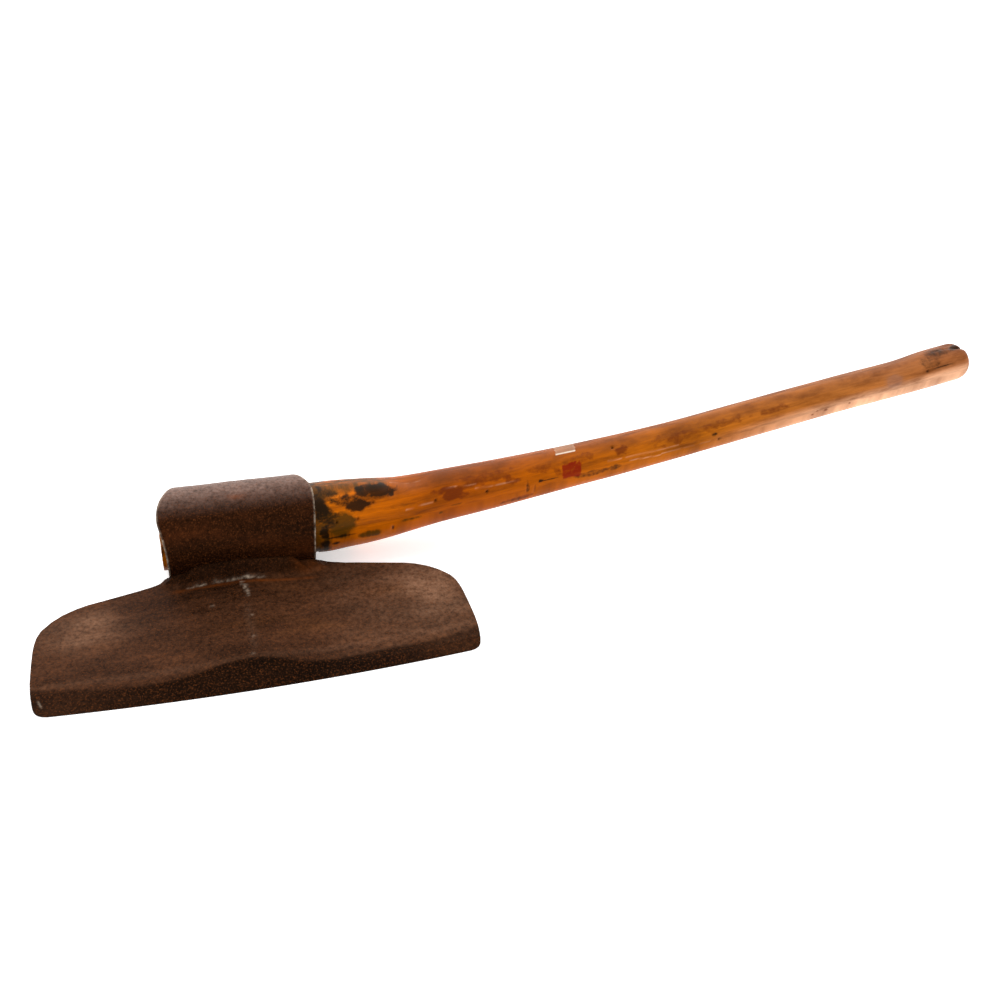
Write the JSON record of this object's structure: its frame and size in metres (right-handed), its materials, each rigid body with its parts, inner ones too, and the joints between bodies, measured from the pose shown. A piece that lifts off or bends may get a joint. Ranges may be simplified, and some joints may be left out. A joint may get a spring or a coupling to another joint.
{
  "type": "broad axe",
  "caption": "Hewing axe with a wide blade bevelled on one side, a round socket set flush with its flat back, and a bent wooden handle.",
  "frame": {"origin": "on the flat back of the head, under the eye's centre line and in line with the middle of the blade", "axes": "+X along the eye towards the grip, +Y from the cutting edge towards the poll, +Z away from the flat back"},
  "size_m": [0.7585, 0.1825, 0.1254],
  "materials": {
    "socket_iron": "forged wrought iron with an old dark brown rust patina, rubbed to a dull sheen on top",
    "blade_iron": "forged wrought iron, dark brown rust patina with fine orange specks and faint streaks along the blade",
    "edge_steel": "forge-welded carbon steel, darker pitted rust on the bevel and the back",
    "handle_wood": "old orange-brown hardwood with worn varnish, dark stains, worm holes and drying checks",
    "wedge_wood": "split hardwood, bare and dull"
  },
  "bodies": {
    "root": {"socket": "socket_iron", "blade": "blade_iron", "edge_steel": "edge_steel", "handle": "handle_wood", "kerf_wedge": "wedge_wood"}
  },
  "joints": []
}
